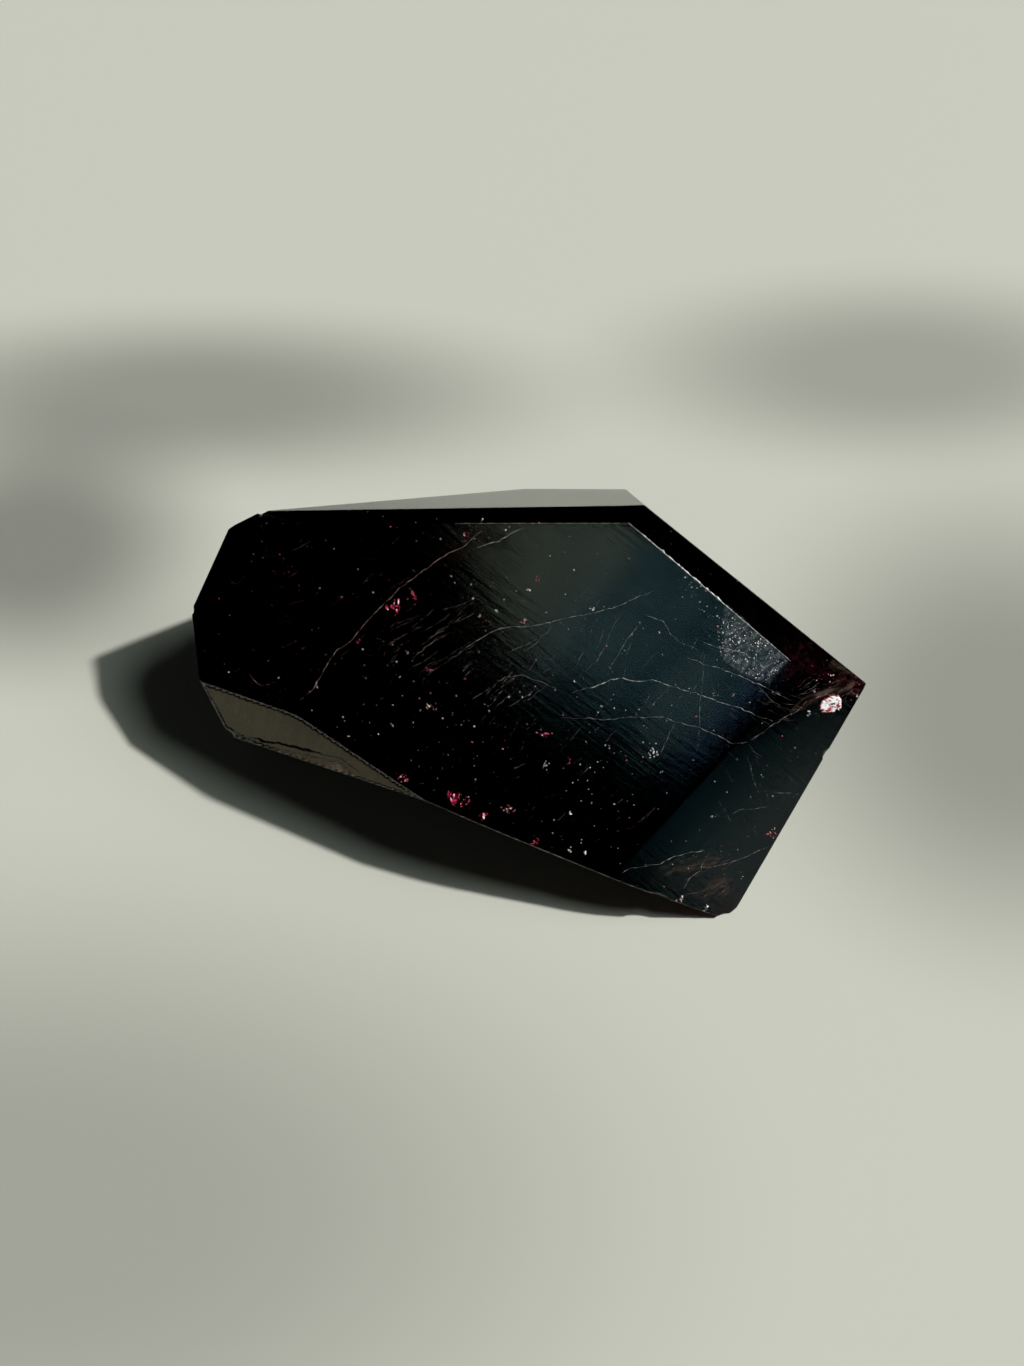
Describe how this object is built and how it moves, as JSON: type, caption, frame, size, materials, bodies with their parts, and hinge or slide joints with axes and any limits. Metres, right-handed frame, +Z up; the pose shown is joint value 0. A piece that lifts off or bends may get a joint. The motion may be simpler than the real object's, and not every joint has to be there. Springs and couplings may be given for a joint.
{
  "type": "garnet crystal",
  "caption": "Dark red-black garnet, ground and polished into flat facets: a wedge-shaped freeform, thick at one end and thin at a pointed tip, lying on a flat base.",
  "frame": {"origin": "middle of the stone's bounding box, on the flat base that it lies on", "axes": "+X along the length towards the thin tip, +Y to the back ridge, +Z up"},
  "size_m": [0.0664, 0.0512, 0.0121],
  "materials": {
    "garnet": "polished, very dark red and see-through only where thin"
  },
  "bodies": {
    "root": {"garnet_crystal": "garnet"}
  },
  "joints": []
}
